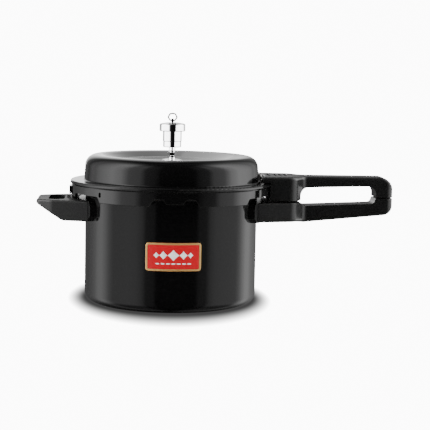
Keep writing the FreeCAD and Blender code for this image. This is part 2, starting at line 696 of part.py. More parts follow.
def make_helper_handle():
    """A D-shaped loop, drawn pointing along +X and turned half round to the pot's far side."""
    body = new_body("helper_handle")
    start = d.pot_radius - 25.0
    nose = d.helper_reach + 1.0
    plan = new_sketch(body, "plan", "XY_Plane", lift=d.helper_bottom - 2.0)
    outline(plan, [
        (start, -d.helper_root_half),
        (d.pot_radius - 6.0, -d.helper_root_half, 6.0),
        (d.helper_knee, -d.helper_half, 16.0),
        (nose, -d.helper_half * 0.7, 15.0),
        (nose, d.helper_half * 0.7, 15.0),
        (d.helper_knee, d.helper_half, 16.0),
        (d.pot_radius - 6.0, d.helper_root_half, 6.0),
        (start, d.helper_root_half),
    ])
    pad(body, plan, d.helper_top - d.helper_bottom + 4.0)
    clear_of_guard(body)
    shape = keep_inside(body, "side", "XZ_Plane", [
        (start - 10.0, d.helper_bottom),
        (d.helper_slope_start, d.helper_bottom, 12.0),
        (d.helper_reach, d.helper_nose, 2.8),
        (d.helper_reach, d.helper_top, 2.8),
        (start - 10.0, d.helper_top),
    ])
    shape = rounded(body, shape, as_size(2.5), lambda point: abs(point.y) > 9.0
                    and point.x > d.pot_radius.value - 6.0
                    and not d.helper_bottom.value + 9.0 < point.z < d.helper_nose.value - 1.0)
    loop = new_sketch(body, "loop", "XY_Plane")
    rectangle(loop, d.loop_start, d.loop_end, -d.loop_half, d.loop_half, 9.0)
    pocket(body, loop)
    tongue_slot(body, HELPER_TONGUE_END)
    stop_slot = new_sketch(body, "stop_slot", "XY_Plane", lift=d.tongue_bottom)
    rectangle(stop_slot, d.helper_stop_start - 0.3, d.helper_stop_end + 0.3,
              -d.helper_stop_half - 0.3, d.helper_stop_half + 0.3)
    pocket(body, stop_slot, as_size(40.0), along_normal=True)
    sink_screws(body, [d.helper_screw_place], d.helper_bottom, SCREW_FLOOR, d.tongue_top + 2.5)
    body.Placement = HALF_TURN
    return body


def make_screws(label, place, floor, end, count, half_turn):
    """Pan-head screws that come from below, their heads on washers."""
    body = new_body(label)
    seat = floor - 0.8
    screw = new_sketch(body, "screw", "XZ_Plane")
    outline(screw, [
        (0, seat - 2.5),
        (d.screw_head, seat - 2.5, 1.4),
        (d.screw_head, seat),
        (d.screw_radius, seat),
        (d.screw_radius, end, 0.5),
        (0, end),
    ])
    solid = turned(body, screw)
    drive_width = 1.0
    drive = new_sketch(body, "drive", "XY_Plane", lift=seat - 2.5)
    rectangle(drive, -d.screw_head * 0.6, d.screw_head * 0.6, -drive_width / 2, drive_width / 2)
    slot = pocket(body, drive, as_size(1.2), along_normal=True)
    if count == 2:
        repeated_along_x(body, [solid, slot], d.screw_gap)
    body.Placement = half_turn
    bind(body, "Placement.Base.x", place)
    return body


def make_washers(label, place, floor, count, half_turn):
    body = new_body(label)
    ring = new_sketch(body, "ring", "XY_Plane", lift=floor - 0.8)
    circle(ring, 0, 0, d.screw_sink - 0.3)
    circle(ring, 0, 0, d.screw_hole)
    solid = pad(body, ring, as_size(0.8))
    if count == 2:
        repeated_along_x(body, [solid], d.screw_gap)
    body.Placement = half_turn
    bind(body, "Placement.Base.x", place)
    return body


# ---------------------------------------------------------------- lid

def make_lid_shell():
    body = new_body("lid_shell")
    wall = d.lid_wall
    skirt_inner = d.skirt_radius - wall
    profile = new_sketch(body, "shell", "XZ_Plane")
    outline(profile, [
        (0, d.dish_top),
        (0, d.dish_top - wall),
        (d.dish_radius + 1.0, d.dish_top - wall, 8.0),
        (d.crown_radius + 1.0, d.crown_top - wall, 22.0),
        (d.dome_shoulder - wall, d.crown_top - wall, d.dome_corner - wall),
        (d.dome_foot - wall, d.flange_top - wall, 2.0),
        (skirt_inner, d.flange_top - wall, 1.5),
        (skirt_inner, d.skirt_bottom, 0.6),
        (d.skirt_radius, d.skirt_bottom, 0.6),
        (d.skirt_radius, d.bead_bottom - 0.8, 0.5),
        (d.bead_radius - 0.7, d.bead_bottom, 0.4),
        (d.bead_radius + 0.5, d.bead_bottom + 0.8, 0.8),
        (d.bead_radius, d.flange_top, 1.6),
        (d.dome_foot, d.flange_top, 1.6),
        (d.dome_shoulder, d.crown_top, d.dome_corner),
        (d.crown_radius, d.crown_top, 25.0),
        (d.dish_radius, d.dish_top, 8.0),
    ])
    turned(body, profile)
    lugs = []
    for name, place in (("lug_a", 90 - d.lug_place), ("lug_b", 90 + d.lug_place)):
        lug = new_sketch(body, name, "XZ_Plane", turn=place - d.lid_lug_width / 2)
        outline(lug, [
            (skirt_inner + 1.0, d.skirt_bottom),
            (skirt_inner + 1.0, d.lid_lug_top),
            (d.lid_lug_inner, d.lid_lug_top, 0.8),
            (d.lid_lug_inner, d.skirt_bottom, 0.8),
        ])
        lugs.append(turned(body, lug, d.lid_lug_width))
    opposite(body, lugs)
    stop = new_sketch(body, "stop", "XZ_Plane", turn=180 - d.lid_stop_angle)
    rectangle(stop, d.skirt_radius - 1.0, d.lid_stop_radius, d.lid_stop_bottom, d.lid_stop_top, 0.8)
    turned(body, stop, 2 * d.lid_stop_angle)
    below = d.skirt_bottom - 2.0
    front_cut = new_sketch(body, "front_cut", "XZ_Plane")
    outline(front_cut, [
        (-d.front_cut_foot - 0.6, below),
        (d.front_cut_foot + 0.6, below),
        (d.front_cut_head, d.cut_top, 3.0),
        (d.hump_root, d.cut_top, 3.0),
        (d.hump_tip, d.hump_bottom, 3.0),
        (-d.hump_tip, d.hump_bottom, 3.0),
        (-d.hump_root, d.cut_top, 3.0),
        (-d.front_cut_head, d.cut_top, 3.0),
    ])
    pocket(body, front_cut)
    side_cut = new_sketch(body, "side_cut", "YZ_Plane")
    for side in (-1, 1):
        outline(side_cut, [
            (side * (d.side_tab_foot - 0.7), below),
            (side * (d.side_cut_foot + 0.7), below),
            (side * d.side_cut_head, d.side_cut_top, 3.0),
            (side * d.side_tab_head, d.side_cut_top, 3.0),
        ])
    pocket(body, side_cut)
    window = new_sketch(body, "window", "XZ_Plane", turn=-d.window_place)
    rectangle(window, -1.8, 1.8, d.window_middle - 3.0, d.window_middle + 3.0, 1.75)
    pocket(body, window, as_size(130.0), along_normal=True)
    vent_hole = new_sketch(body, "vent_hole", "XY_Plane")
    circle(vent_hole, 0, 0, d.vent_thread)
    pocket(body, vent_hole)
    dimple = new_sketch(body, "dimple", "XY_Plane", lift=d.crown_top + 5.0)
    circle(dimple, d.plug_x, d.plug_y, d.dimple_radius)
    pocket(body, dimple, d.crown_top + 5.0 - d.dish_top + d.dimple_depth)
    plug_hole = new_sketch(body, "plug_hole", "XY_Plane")
    circle(plug_hole, d.plug_x, d.plug_y, d.plug_thread)
    pocket(body, plug_hole)
    for name, side in (("rivet_hole_a", 1), ("rivet_hole_b", -1)):
        hole = new_sketch(body, name, "YZ_Plane", turn=side * d.rivet_place)
        circle(hole, 0, d.lid_rivet_height, d.rivet_radius)
        pocket(body, hole, as_size(130.0), along_normal=True)
    return body


def make_gasket():
    """A rubber ring in the channel under the flange, with a groove that the steam spreads."""
    body = new_body("gasket")
    top = d.flange_top - d.lid_wall
    bottom = d.rim_top + 0.1
    ring = new_sketch(body, "ring", "XZ_Plane")
    outline(ring, [
        (d.gasket_inner, bottom, 0.8),
        (d.gasket_outer, bottom, 1.6),
        (d.gasket_outer, top, 1.2),
        (d.gasket_inner, top, 0.8),
        (d.gasket_inner, top - 1.8),
        (d.gasket_inner + 4.0, top - 2.2, 0.3),
        (d.gasket_inner, bottom + 1.8),
    ])
    turned(body, ring)
    return body


def dome_radius_at(height):
    """Radius of the tapered dome wall at a height."""
    rise = (height - d.flange_top) / (d.crown_top - d.flange_top)
    return d.dome_foot - (d.dome_foot - d.dome_shoulder) * rise


def make_lid_bracket():
    """A foot on the dome wall, a tongue over the flange and a leg down through the handle."""
    body = new_body("lid_handle_bracket")
    foot_bottom = d.lid_tongue_bottom + 1.7
    thick = d.foot_thickness
    foot = new_sketch(body, "foot", "XZ_Plane", turn=-d.foot_angle)
    outline(foot, [
        (dome_radius_at(foot_bottom) + 0.05, foot_bottom),
        (dome_radius_at(foot_bottom) + thick, foot_bottom),
        (dome_radius_at(d.lid_foot_top) + thick, d.lid_foot_top),
        (dome_radius_at(d.lid_foot_top) + 0.05, d.lid_foot_top),
    ])
    turned(body, foot, 2 * d.foot_angle)
    tongue = new_sketch(body, "tongue", "XZ_Plane")
    knee = dome_radius_at(foot_bottom) + thick - 0.6
    outline(tongue, [
        (knee, d.lid_tongue_bottom + 0.6),
        (knee + 3.0, d.lid_tongue_bottom),
        (LID_TONGUE_END, d.lid_tongue_bottom),
        (LID_TONGUE_END, d.lid_tongue_top),
        (knee, d.lid_tongue_top),
    ])
    pad(body, tongue, 2 * d.tongue_half_width, both_sides=True)
    leg = new_sketch(body, "leg", "XZ_Plane")
    rectangle(leg, LEG_START, LEG_START + 2.0,
              d.lid_handle_bottom - 1.2, d.lid_tongue_top - 0.5)
    pad(body, leg, d.tongue_half_width + 3.0, both_sides=True)
    threads = new_sketch(body, "threads", "XY_Plane", lift=d.lid_tongue_top)
    for place in LID_SCREWS:
        circle(threads, place, 0, d.screw_radius)
    pocket(body, threads)
    for name, side in (("rivet_hole_a", 1), ("rivet_hole_b", -1)):
        hole = new_sketch(body, name, "YZ_Plane", turn=side * d.rivet_place)
        circle(hole, 0, d.lid_rivet_height, d.rivet_radius)
        pocket(body, hole)
    return body


def make_disc(label, x, y, outer, hole, bottom, height):
    """A flat ring about a vertical axis: a washer, a disc or a plug."""
    body = new_body(label)
    ring = new_sketch(body, "ring", "XY_Plane")
    circle(ring, 0, 0, outer)
    if hole is not None:
        circle(ring, 0, 0, hole)
    pad(body, ring, height)
    bind(body, "Placement.Base.x", x)
    bind(body, "Placement.Base.y", y)
    bind(body, "Placement.Base.z", bottom)
    return body


def make_nut(label, x, y, hole, top):
    body = new_body(label)
    flats = new_sketch(body, "flats", "XY_Plane")
    hexagon(flats, d.nut_flats)
    circle(flats, 0, 0, hole)
    pad(body, flats, d.nut_height)
    bind(body, "Placement.Base.x", x)
    bind(body, "Placement.Base.y", y)
    bind(body, "Placement.Base.z", top - d.nut_height)
    return body


DISH_UNDER = d.dish_top - d.lid_wall
NUT_TOP = DISH_UNDER - d.washer_height


def make_vent_base():
    """The flared disc that seats the vent tube on the lid."""
    body = new_body("vent_base_disc")
    disc = new_sketch(body, "disc", "XZ_Plane")
    outline(disc, [
        (d.vent_thread, d.dish_top),
        (d.vent_base_radius, d.dish_top),
        (d.vent_base_radius, d.dish_top + 1.2, 0.5),
        (d.vent_base_radius - 5.0, d.vent_base_top, 3.0),
        (d.vent_thread, d.vent_base_top),
    ])
    turned(body, disc)
    return body


def make_vent_tube():
    body = new_body("vent_tube")
    neck = d.vent_radius - 0.2
    profile = new_sketch(body, "profile", "XZ_Plane")
    outline(profile, [
        (d.vent_bore, NUT_TOP - d.nut_height - 1.5),
        (d.vent_thread, NUT_TOP - d.nut_height - 1.5, 0.5),
        (d.vent_thread, d.vent_base_top),
        (neck + 1.4, d.vent_base_top, 0.5),
        (neck, d.vent_base_top + 1.4, 0.8),
        (neck, d.hex_bottom + 1.0),
        (neck, d.hex_top - 1.0),
        (d.vent_radius, d.hex_top + 0.5),
        (d.vent_radius, d.vent_top - 2.0, 0.5),
        (d.vent_bore + 0.7, d.vent_top, 0.2),
        (d.vent_bore, d.vent_top),
    ])
    turned(body, profile)
    flats = new_sketch(body, "flats", "XY_Plane", lift=d.hex_bottom)
    hexagon(flats, as_size(9.4))
    circle(flats, 0, 0, d.vent_radius - 0.8)
    pad(body, flats, d.hex_top - d.hex_bottom)
    bevel = new_sketch(body, "bevel", "XZ_Plane")
    outline(bevel, [
        (7.0, d.hex_bottom - 1.0),
        (7.0, d.hex_top + 1.0),
        (4.3, d.hex_top + 1.0),
        (4.3, d.hex_top),
        (5.5, d.hex_top - 1.1),
        (5.5, d.hex_bottom + 1.1),
        (4.3, d.hex_bottom),
        (4.3, d.hex_bottom - 1.0),
    ])
    turned(body, bevel, cut=True)
    return body


def make_safety_plug():
    body = new_body("safety_plug_body")
    seat = d.dish_top - d.dimple_depth
    core = 2.0
    profile = new_sketch(body, "profile", "XZ_Plane")
    outline(profile, [
        (core, NUT_TOP - d.nut_height - 1.0),
        (d.plug_thread, NUT_TOP - d.nut_height - 1.0, 0.5),
        (d.plug_thread, seat),
        (d.plug_head, seat),
        (d.plug_head, seat + 1.9, 0.7),
        (core, seat + 1.9, 0.2),
    ])
    turned(body, profile)
    bind(body, "Placement.Base.x", d.plug_x)
    bind(body, "Placement.Base.y", d.plug_y)
    return body


# ---------------------------------------------------------------- weight valve

def make_weight_sleeve():
    body = new_body("weight_sleeve")
    profile = new_sketch(body, "profile", "XZ_Plane")
    outline(profile, [
        (d.weight_bore, d.weight_bottom, 0.4),
        (d.sleeve_radius, d.weight_bottom, 0.9),
        (d.sleeve_radius, d.sleeve_top, 0.6),
        (d.weight_bore, d.sleeve_top),
    ])
    turned(body, profile)
    return body


def make_weight_body():
    body = new_body("weight_body")
    needle = 2.0
    profile = new_sketch(body, "profile", "XZ_Plane")
    outline(profile, [
        (needle, d.sleeve_top + 1.6),
        (d.weight_bore, d.sleeve_top + 1.6),
        (d.weight_bore, d.sleeve_top),
        (d.weight_radius, d.sleeve_top, 0.6),
        (d.weight_radius, d.cap_seat, 0.4),
        (d.stem_radius, d.cap_seat),
        (d.stem_radius, d.cap_seat - 4.0),
        (needle, d.cap_seat - 4.0),
    ])
    turned(body, profile)
    return body


def make_weight_needle():
    """The pointed pin that closes the vent tube's bore."""
    body = new_body("weight_needle")
    profile = new_sketch(body, "profile", "XZ_Plane")
    outline(profile, [
        (0, d.vent_top - 1.8),
        (0.5, d.vent_top - 1.8),
        (2.0, d.vent_top + 1.8),
        (2.0, d.cap_seat - 4.0),
        (0, d.cap_seat - 4.0),
    ])
    turned(body, profile)
    return body


def make_weight_cap():
    body = new_body("weight_cap")
    profile = new_sketch(body, "profile", "XZ_Plane")
    outline(profile, [
        (d.weight_radius, d.cap_bottom),
        (d.cap_radius, d.cap_bottom, 1.2),
        (d.cap_radius, d.cap_top - 1.5, 2.0),
        (d.cap_radius - 9.0, d.cap_top, 6.0),
        (d.stem_radius, d.cap_top),
        (d.stem_radius, d.cap_seat),
        (d.weight_radius, d.cap_seat),
    ])
    turned(body, profile)
    return body


def make_eye_stem():
    """A stem through the cap with a flat eye on top."""
    body = new_body("weight_eye_stem")
    profile = new_sketch(body, "profile", "XZ_Plane")
    outline(profile, [
        (0, d.cap_seat - 4.0),
        (d.stem_radius, d.cap_seat - 4.0),
        (d.stem_radius, d.cap_top),
        (d.stem_radius + 1.6, d.cap_top),
        (d.stem_radius + 1.6, d.cap_top + 0.5, 0.3),
        (0, d.cap_top + 0.5),
    ])
    turned(body, profile)
    eye = new_sketch(body, "eye", "YZ_Plane")
    circle(eye, 0, d.eye_height, d.eye_radius)
    pad(body, eye, as_size(2.8), both_sides=True)
    hole = new_sketch(body, "hole", "YZ_Plane")
    circle(hole, 0, d.eye_height, d.eye_hole)
    pocket(body, hole)
    return body


def make_ring():
    """A finger ring of round wire whose lower side passes through the eye."""
    body = new_body("weight_ring")
    foot_half = d.ring_half_width * 0.5
    widest = d.ring_height * 0.45
    spine = new_sketch(body, "spine", "XZ_Plane")
    outline(spine, [
        (-foot_half, 0, 1.4),
        (foot_half, 0, 1.4),
        (d.ring_half_width, widest, 1.4),
        (0.6 * d.ring_half_width, 0.93 * d.ring_height, 1.4),
        (0, d.ring_height, 2.5),
        (-0.6 * d.ring_half_width, 0.93 * d.ring_height, 1.4),
        (-d.ring_half_width, widest, 1.4),
    ])
    section = new_sketch(body, "section", "YZ_Plane")
    circle(section, 0, 0, d.ring_wire)
    doc.recompute()
    pipe = body.newObject("PartDesign::AdditivePipe", "weight_ring_pipe")
    pipe.Profile = section
    pipe.Spine = (spine, [f"Edge{number + 1}" for number in range(len(spine.Shape.Edges))])
    bind(body, "Placement.Base.z", d.eye_height)
    return body


# ---------------------------------------------------------------- assembly

NO_TURN = FreeCAD.Placement()
HALF_TURN = FreeCAD.Placement(V(), FreeCAD.Rotation(UP, 180))
INNER_WALL = d.pot_radius - d.pot_wall - 0.1
FOOT_OUTSIDE = d.pot_radius + d.foot_thickness
BODY_SCREW_END = d.tongue_top + 1.8
LID_SCREW_END = d.lid_tongue_top + 2.0

subparts = [
    make_pot_body(),
    make_front_badge(),
    make_pot_bracket("body_handle_bracket", BODY_TONGUE_END, BODY_SCREWS, NO_TURN),
    make_rivets("body_bracket_rivets", INNER_WALL, FOOT_OUTSIDE, d.rivet_height, NO_TURN),
    make_flame_guard("body_flame_guard", NO_TURN),
    make_body_handle(),
    make_screws("body_handle_screws", d.body_screw_place, SCREW_FLOOR, BODY_SCREW_END, 2, NO_TURN),
    make_washers("body_handle_washers", d.body_screw_place, SCREW_FLOOR, 2, NO_TURN),
    make_pot_bracket("helper_handle_bracket", HELPER_TONGUE_END, [d.helper_screw_place], HALF_TURN,
                     with_stop=True),
    make_rivets("helper_bracket_rivets", INNER_WALL, FOOT_OUTSIDE, d.rivet_height, HALF_TURN),
    make_flame_guard("helper_flame_guard", HALF_TURN),
    make_helper_handle(),
    make_screws("helper_handle_screw", -d.helper_screw_place, SCREW_FLOOR, BODY_SCREW_END, 1,
                HALF_TURN),
    make_washers("helper_handle_washer", -d.helper_screw_place, SCREW_FLOOR, 1, HALF_TURN),
    make_lid_shell(),
    make_gasket(),
    make_lid_bracket(),
    make_rivets("lid_bracket_rivets", dome_radius_at(d.lid_rivet_height) - d.lid_wall - 0.4,
                dome_radius_at(d.lid_rivet_height) + d.foot_thickness + 0.3, d.lid_rivet_height, NO_TURN),
    make_lid_handle(),
    make_screws("lid_handle_screws", d.lid_screw_place, LID_SCREW_FLOOR, LID_SCREW_END, 2, NO_TURN),
    make_washers("lid_handle_washers", d.lid_screw_place, LID_SCREW_FLOOR, 2, NO_TURN),
    make_vent_base(),
    make_vent_tube(),
    make_disc("vent_seal_washer", 0, 0, d.vent_thread + 5.0, d.vent_thread, NUT_TOP,
              d.washer_height),
    make_nut("vent_tube_nut", 0, 0, d.vent_thread, NUT_TOP),
    make_safety_plug(),
    make_disc("safety_plug_core", d.plug_x, d.plug_y, as_size(2.0), None,
              NUT_TOP - d.nut_height - 1.0, DISH_UNDER - NUT_TOP + d.nut_height + 3.9),
    make_disc("safety_plug_seal", d.plug_x, d.plug_y, d.plug_thread + 4.0, d.plug_thread, NUT_TOP,
              d.washer_height),
    make_nut("safety_plug_nut", d.plug_x, d.plug_y, d.plug_thread, NUT_TOP),
    make_weight_sleeve(),
    make_weight_body(),
    make_weight_needle(),
    make_weight_cap(),
    make_eye_stem(),
    make_ring(),
]
doc.recompute()

for thing in doc.Objects:
    failed = {"Invalid", "Error"} & set(thing.State)
    if failed:
        raise RuntimeError(f"{thing.Label} is {thing.State}")
for subpart in subparts:
    if subpart.Shape.isNull() or not subpart.Shape.isValid():
        raise RuntimeError(f"{subpart.Label} has no valid shape")

os.makedirs("parts", exist_ok=True)
for subpart in subparts:
    subpart.Shape.exportStep(f"parts/{subpart.Label}.step")
    box = subpart.Shape.BoundBox
    print(f"{subpart.Label}: {len(subpart.Shape.Solids)} solid(s), {subpart.Shape.Volume:.0f} mm3, "
          f"x {box.XMin:.1f}..{box.XMax:.1f}, y {box.YMin:.1f}..{box.YMax:.1f}, "
          f"z {box.ZMin:.1f}..{box.ZMax:.1f}")
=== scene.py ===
import json
import math

import bmesh
import bpy
from mathutils import Matrix, Vector


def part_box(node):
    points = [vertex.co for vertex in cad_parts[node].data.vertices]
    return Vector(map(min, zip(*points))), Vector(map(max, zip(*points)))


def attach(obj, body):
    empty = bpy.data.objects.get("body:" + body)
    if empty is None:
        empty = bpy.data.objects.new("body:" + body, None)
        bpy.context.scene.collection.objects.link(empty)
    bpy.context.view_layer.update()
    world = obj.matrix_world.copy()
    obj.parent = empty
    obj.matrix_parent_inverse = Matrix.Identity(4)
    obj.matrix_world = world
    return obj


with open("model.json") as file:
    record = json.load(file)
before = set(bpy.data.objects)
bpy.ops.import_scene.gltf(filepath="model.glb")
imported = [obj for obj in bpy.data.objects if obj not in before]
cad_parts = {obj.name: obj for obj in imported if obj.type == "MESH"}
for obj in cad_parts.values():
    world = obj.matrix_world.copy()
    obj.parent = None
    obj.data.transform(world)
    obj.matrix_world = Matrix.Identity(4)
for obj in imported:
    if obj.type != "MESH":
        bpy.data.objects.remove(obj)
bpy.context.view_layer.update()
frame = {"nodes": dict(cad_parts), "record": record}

MM = 0.001

# The badge: the red plate is a CAD node, the rim and the ornament are made here.
BADGE_CORNER = 3.6 * MM
BADGE_RIM_WIDTH = 2.3 * MM
BADGE_RIM_RISE = 0.32 * MM
BADGE_RIM_INSET = 0.1 * MM
BADGE_PRINT_RISE = 0.16 * MM
BADGE_SINK = 0.1 * MM
LONGEST_SIDE = 2.0 * MM
THINNEST_PRINT = 0.02 * MM

# How bright the floor's paper and the room look to the camera.
WHITE = 11.5

# The painted shadow under the pot, a dark pool painted on the floor: (half width, half depth) of
# its inner and outer oval.
PAINTED_SHADOW_BACK = 20.0 * MM
PAINTED_SHADOW_INNER = (102.0 * MM, 123.0 * MM)
PAINTED_SHADOW_OUTER = (123.0 * MM, 196.0 * MM)
PAINTED_SHADOW_DEPTH = -5.2
PAINTED_SHADOW_FADE = 1.15
FLOOR_RADIUS = 30.0
FLOOR_DROP = 0.2 * MM

# What the room sends everywhere but to the camera, as (degrees from the front line, level).
FRONT_TURN = 6.0
REFLECTED_LOW = ((0, 0.004), (26, 0.012), (30, 0.28), (40, 0.34), (46, 1.0), (54, 1.35), (66, 1.4),
                 (90, 1.15), (97, 1.6), (104, 2.3), (112, 2.6), (120, 2.0), (128, 1.1), (137, 0.6),
                 (150, 0.28), (165, 0.15), (180, 0.12))
REFLECTED_HIGH = ((0, 0.01), (22, 0.02), (30, 0.3), (42, 0.45), (50, 1.6), (66, 1.9), (78, 4.4),
                  (92, 4.8), (104, 3.4), (114, 2.3), (127, 1.0), (134, 0.8), (148, 0.18),
                  (162, 0.3), (172, 1.4), (180, 2.3))

# Two wide white boards, whose light reaches only the bright parts of the weight and the vent.
BOARD_ANGLE = 72.0
BOARD_DISTANCE = 1.5
BOARD_SIZE = (2.6, 1.8)
BOARD_POWER = 90.0
BOARD_MIRRORS = ("weight_sleeve", "weight_body", "weight_cap", "weight_eye_stem", "vent_tube",
                 "vent_base_disc")

# The camera: a long lens a little above the lid, in front of the badge.
CAMERA_EYE = (-0.054, -1.60, 0.281)
CAMERA_AIM = (0.0526, 0.0, 0.1026)
CAMERA_ROLL = 1.15
CAMERA_LENS = 112.9
CAMERA_SENSOR = 36.0


# ---------------------------------------------------------------- node helpers

class Nodes:
    """A node tree, with short calls to add nodes and link them."""

    def __init__(self, tree):
        self.tree = tree

    def put(self, socket, value):
        if isinstance(value, bpy.types.NodeSocket):
            self.tree.links.new(value, socket)
        else:
            socket.default_value = value

    def add(self, kind, **inputs):
        node = self.tree.nodes.new(kind)
        for name, value in inputs.items():
            self.put(node.inputs[name.replace("_", " ")], value)
        return node

    def calc(self, operation, *values):
        node = self.tree.nodes.new("ShaderNodeMath")
        node.operation = operation
        for socket, value in zip(node.inputs, values):
            self.put(socket, value)
        return node.outputs[0]

    def stretched(self, value, low, high, to_low, to_high, smooth=False):
        """The value mapped from one range to another, and held inside it."""
        node = self.tree.nodes.new("ShaderNodeMapRange")
        if smooth:
            node.interpolation_type = "SMOOTHSTEP"
        for socket, item in zip(node.inputs, (value, low, high, to_low, to_high)):
            self.put(socket, item)
        return node.outputs[0]

    def levels(self, angle, stops):
        """The level that belongs to an angle in degrees, between the two stops beside it."""
        node = self.add("ShaderNodeValToRGB", Fac=self.calc("DIVIDE", angle, 180.0))
        ramp = node.color_ramp
        for degrees, _ in stops[1:-1]:
            ramp.elements.new(degrees / 180.0)
        for element, (degrees, level) in zip(ramp.elements, stops):
            element.position = degrees / 180.0
            element.color = grey(level)
        return node.outputs[0]


class Shader(Nodes):
    """A material whose main node is the principled surface."""

    def __init__(self, name, **surface):
        self.material = bpy.data.materials.new(name)
        self.material.use_nodes = True
        super().__init__(self.material.node_tree)
        self.surface = self.tree.nodes["Principled BSDF"]
        for socket, value in surface.items():
            self.surface.inputs[socket.replace("_", " ")].default_value = value
        self.coords = self.add("ShaderNodeTexCoord").outputs["Object"]

    def xyz(self, vector=None):
        parts = self.add("ShaderNodeSeparateXYZ", Vector=vector or self.coords)
        return parts.outputs[0], parts.outputs[1], parts.outputs[2]

    def vector(self, x, y, z):
        return self.add("ShaderNodeCombineXYZ", X=x, Y=y, Z=z).outputs[0]

    def noise(self, scale, detail=2.0, roughness=0.5, vector=None):
        return self.add("ShaderNodeTexNoise", Vector=vector or self.coords, Scale=scale,
                        Detail=detail, Roughness=roughness).outputs["Fac"]

    def mixed(self, factor, first, second):
        node = self.tree.nodes.new("ShaderNodeMix")
        node.data_type = "RGBA"
        self.put(node.inputs[0], factor)
        self.put(node.inputs[6], first)
        self.put(node.inputs[7], second)
        return node.outputs[2]

    def bump(self, height, depth, strength=1.0):
        node = self.add("ShaderNodeBump", Height=height, Distance=depth, Strength=strength)
        self.put(self.surface.inputs["Normal"], node.outputs[0])

    def base(self, value):
        self.put(self.surface.inputs["Base Color"], value)

    def rough(self, value):
        self.put(self.surface.inputs["Roughness"], value)


def grey(level):
    return (level, level, level, 1.0)


# ---------------------------------------------------------------- materials

def around_axis(shader, fineness):
    """Fine rings round the Z axis, as turning leaves them on a top, a wall or a corner."""
    x, y, z = shader.xyz()
    radius = shader.calc("SQRT", shader.calc("ADD", shader.calc("MULTIPLY", x, x),
                                             shader.calc("MULTIPLY", y, y)))
    return shader.noise(fineness, 3.0, 0.6, shader.vector(radius, 0.0, z))


def anodised_black(name, roughness, lean=0.0):
    """Hard-anodised aluminium: black oxide over faint turning marks, paler at its edges, partly
    rubbed wear and partly a painted edge highlight.

    lean tilts the shading of upright walls a little upwards, as a pressed wall's draft does.
    """
    shader = Shader(name, IOR=1.36)
    cloud = shader.noise(22.0, 4.0, 0.55)
    rings = around_axis(shader, 2600.0)
    speck = shader.noise(5200.0, 2.0)
    oxide = shader.mixed(cloud, (0.0018, 0.0018, 0.002, 1), (0.0034, 0.0033, 0.0032, 1))
    softened = shader.add("ShaderNodeBevel", Radius=0.7 * MM).outputs[0]
    turn = shader.tree.nodes.new("ShaderNodeVectorMath")
    turn.operation = "DOT_PRODUCT"
    shader.put(turn.inputs[0], softened)
    shader.put(turn.inputs[1], shader.add("ShaderNodeNewGeometry").outputs["Normal"])
    # Edge mask: paler bare metal along every edge, partly rubbed wear and partly a painted
    # highlight.
    edge = shader.stretched(turn.outputs["Value"], 0.9, 0.995, 1.0, 0.0)
    shader.base(shader.mixed(edge, oxide, (0.028, 0.027, 0.026, 1)))
    smear = shader.stretched(cloud, 0.3, 0.7, roughness - 0.01, roughness + 0.014)
    lines = shader.stretched(rings, 0.3, 0.7, -0.006, 0.006)
    shader.rough(shader.calc("ADD", smear, lines))
    relief = shader.calc("ADD", shader.calc("MULTIPLY", rings, 0.0007 * MM),
                         shader.calc("MULTIPLY", speck, 0.0004 * MM))
    height = shader.xyz()[2]
    shader.bump(shader.calc("SUBTRACT", relief, shader.calc("MULTIPLY", height, lean)), 1.0)
    return shader.material


def moulded_plastic():
    """Black phenolic plastic with a fine spark-eroded grain and rubbed high spots."""
    shader = Shader("handle_plastic", IOR=1.55)
    grain = shader.noise(2400.0, 3.0, 0.6)
    flow = shader.noise(60.0, 3.0)
    rubbed = shader.noise(18.0, 5.0, 0.6)
    shader.base(shader.mixed(flow, grey(0.005), grey(0.0078)))
    worn = shader.stretched(rubbed, 0.35, 0.7, 0.3, 0.24)
    facing = shader.add("ShaderNodeSeparateXYZ",
                        Vector=shader.add("ShaderNodeNewGeometry").outputs["Normal"])
    matte = shader.stretched(facing.outputs[2], 0.6, 0.98, 0.0, 0.3)
    sanded = shader.calc("ADD", worn, matte)
    shader.rough(shader.calc("ADD", sanded, shader.stretched(grain, 0.3, 0.7, -0.03, 0.03)))
    shader.bump(grain, 0.005 * MM, 0.7)
    return shader.material


def plated(name, colour, roughness, fineness, depth):
    """Bright turned metal: faint rings, and a haze where it has been handled."""
    shader = Shader(name, Metallic=1.0)
    rings = around_axis(shader, fineness)
    haze = shader.noise(140.0, 4.0, 0.6)
    dull = tuple(0.93 * part for part in colour)
    hazy = shader.stretched(haze, 0.35, 0.75, 0.0, 1.0)
    shader.base(shader.mixed(hazy, (*colour, 1), (*dull, 1)))
    film = shader.stretched(haze, 0.3, 0.8, roughness, roughness + 0.04)
    shader.rough(shader.calc("ADD", film, shader.stretched(rings, 0.3, 0.7, -0.012, 0.012)))
    shader.bump(rings, depth * MM)
    return shader.material


def brushed_steel():
    """Rolled steel strip with a lengthwise grain and small dark pits."""
    shader = Shader("brushed_steel", Metallic=0.8, IOR=1.6)
    x, y, z = shader.xyz()
    along = shader.vector(shader.calc("MULTIPLY", x, 0.06), y, z)
    grain = shader.noise(3800.0, 4.0, 0.7, along)
    pits = shader.noise(900.0, 2.0)
    shader.base(shader.mixed(shader.stretched(pits, 0.55, 0.75, 0.0, 1.0),
                             (0.42, 0.41, 0.4, 1), (0.27, 0.26, 0.25, 1)))
    shader.rough(shader.stretched(grain, 0.3, 0.7, 0.24, 0.42))
    shader.bump(grain, 0.01 * MM)
    return shader.material


def gasket_rubber():
    """Matte rubber with a bloom of pale dust in its mould grain."""
    shader = Shader("gasket_rubber", IOR=1.5)
    grain = shader.noise(1800.0, 3.0)
    bloom = shader.noise(45.0, 4.0)
    shader.base(shader.mixed(shader.stretched(bloom, 0.4, 0.8, 0.0, 0.5), grey(0.02), grey(0.06)))
    shader.rough(shader.stretched(grain, 0.3, 0.7, 0.62, 0.8))
    shader.bump(grain, 0.02 * MM)
    return shader.material


